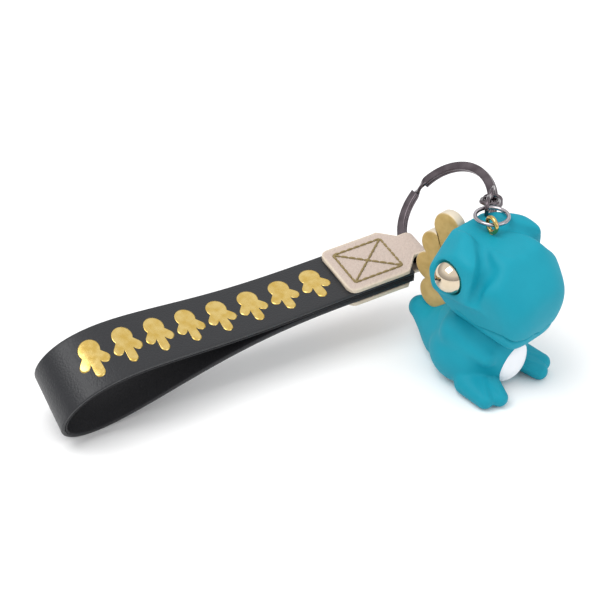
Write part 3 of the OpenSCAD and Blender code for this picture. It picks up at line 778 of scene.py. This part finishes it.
# Stitches: short threads round a box and across it, both ends diving into the leather
stitch = dict(pitch=2.1, inset=3.0, radius=0.32, rise=0.30, dive=0.12, margin=0.1)
left = -q["tabLength"] + stitch["inset"]
boxW = q["tabLength"] - channelOuter - 2 * stitch["inset"]
boxH = q["tabWidth"] - 2 * stitch["inset"]
corners = vec([[left, -boxH / 2], [left + boxW, -boxH / 2], [left + boxW, boxH / 2], [left, boxH / 2]])
runs = [(corners[i], corners[(i + 1) % 4]) for i in range(4)]
runs += [(corners[0], corners[2]), (corners[1], corners[3])]
t = np.linspace(0, 1, 11)
humped = stitch["rise"] * np.sin(t * math.pi) ** 0.5 - stitch["dive"]
a = np.arange(0, 360, 36)
threadRound = stitch["radius"] * np.stack([cosd(a), sind(a)], -1)
for sign, name, node in ((1, "stitchesFront", "stitches_front"), (-1, "stitchesBack", "stitches_back")):
    pts, faces, base = [], [], 0
    for a0, b0 in runs:
        count = max(2, round(float(np.linalg.norm(b0 - a0)) / stitch["pitch"]))
        for i in range(count):
            p0 = a0 + (b0 - a0) * (i + stitch["margin"]) / count
            p1 = a0 + (b0 - a0) * (i + 1 - stitch["margin"]) / count
            p = p0 + (p1 - p0) * t[:, None]
            path = np.stack([p[:, 0], p[:, 1], sign * (tabFace + humped)], -1)
            tan = unit(np.gradient(path, axis=0))
            across = unit(np.cross(tan, np.broadcast_to(vec([0, 0, float(sign)]), tan.shape)))
            one, oneFaces = sweep(path, across, unit(np.cross(across, tan)), threadRound)
            pts.append(toLay(one))
            faces += [tuple(v + base for v in f) for f in oneFaces]
            base += len(one)
    makeMesh(name, np.concatenate(pts), faces, matThread, "strap", [node])
print("stitches")

# Every closed piece gets its faces turned outward
for ob in pieces:
    bm = bmesh.new()
    bm.from_mesh(ob.data)
    bmesh.ops.recalc_face_normals(bm, faces=bm.faces)
    bm.to_mesh(ob.data)
    bm.free()
print("normals")

# Floor, light and camera. Lamp places are in metres
me = bpy.data.meshes.new("floor")
me.from_pydata([(-3, -3, 0), (3, -3, 0), (3, 3, 0), (-3, 3, 0)], [], [(0, 1, 2, 3)])
me.materials.append(plain("pale studio floor", "#fbfbfb", 0.7, 0.2))
floor = bpy.data.objects.new("floor", me)
bpy.context.scene.collection.objects.link(floor)
world = bpy.data.worlds.new("studio")
bpy.context.scene.world = world
bpy.context.scene.view_settings.view_transform = "Standard"
world.use_nodes = True
# Bright overhead, greyer at the horizon, so that the metal shows light and dark
wt = world.node_tree
up = add(wt, "ShaderNodeSeparateXYZ", {0: add(wt, "ShaderNodeTexCoord").outputs["Generated"]}).outputs[2]
skyStops = [(0.0, "#b4b4b8"), (0.3, "#d0d0d2"), (0.55, "#ffffff")]
sky = add(wt, "ShaderNodeValToRGB", {0: up}, stops=skyStops)
wt.links.new(sky.outputs[0], wt.nodes["Background"].inputs[0])
wt.nodes["Background"].inputs[1].default_value = 1.05


# Turns an object's X, Y and Z to three directions and puts it at a place
def stand(ob, x, y, z, place):
    ob.matrix_world = Matrix([[x[i], y[i], z[i], place[i]] for i in range(3)] + [[0, 0, 0, 1]])


def lamp(name, place, aim, size, power):
    data = bpy.data.lights.new(name, "AREA")
    data.shape = "RECTANGLE"
    data.size, data.size_y = size
    data.energy = power
    ob = bpy.data.objects.new(name, data)
    bpy.context.scene.collection.objects.link(ob)
    z = unit(vec(place, float) - vec(aim, float))
    x = unit(np.cross([0, 0, 1], z))
    stand(ob, x, np.cross(z, x), z, place)


lamp("keyLight", (-0.35, 0.1, 0.75), (0, 0, 0.03), (0.5, 0.5), 3.0)
lamp("fillLight", (0.2, -0.7, 0.35), (0, 0, 0.02), (0.5, 0.4), 0.9)

view = dict(angle=45, tilt=34, fov=20, shift=(-50.8, 20.0), dist=472.6)
right = vec([cosd(view["angle"]), -sind(view["angle"]), 0])
ahead = vec([sind(view["angle"]), cosd(view["angle"]), 0])
above = ahead * sind(view["tilt"]) + vec([0, 0, 1]) * cosd(view["tilt"])
behind = -ahead * cosd(view["tilt"]) + vec([0, 0, 1]) * sind(view["tilt"])
place = (view["shift"][0] * right + view["shift"][1] * above + view["dist"] * behind) / 1000
cam = bpy.data.objects.new("camera", bpy.data.cameras.new("camera"))
bpy.context.scene.collection.objects.link(cam)
stand(cam, right, above, behind, place)
cam.data.sensor_fit = "HORIZONTAL"
cam.data.angle = math.radians(view["fov"])
cam.data.clip_start = 0.01
bpy.context.scene.camera = cam
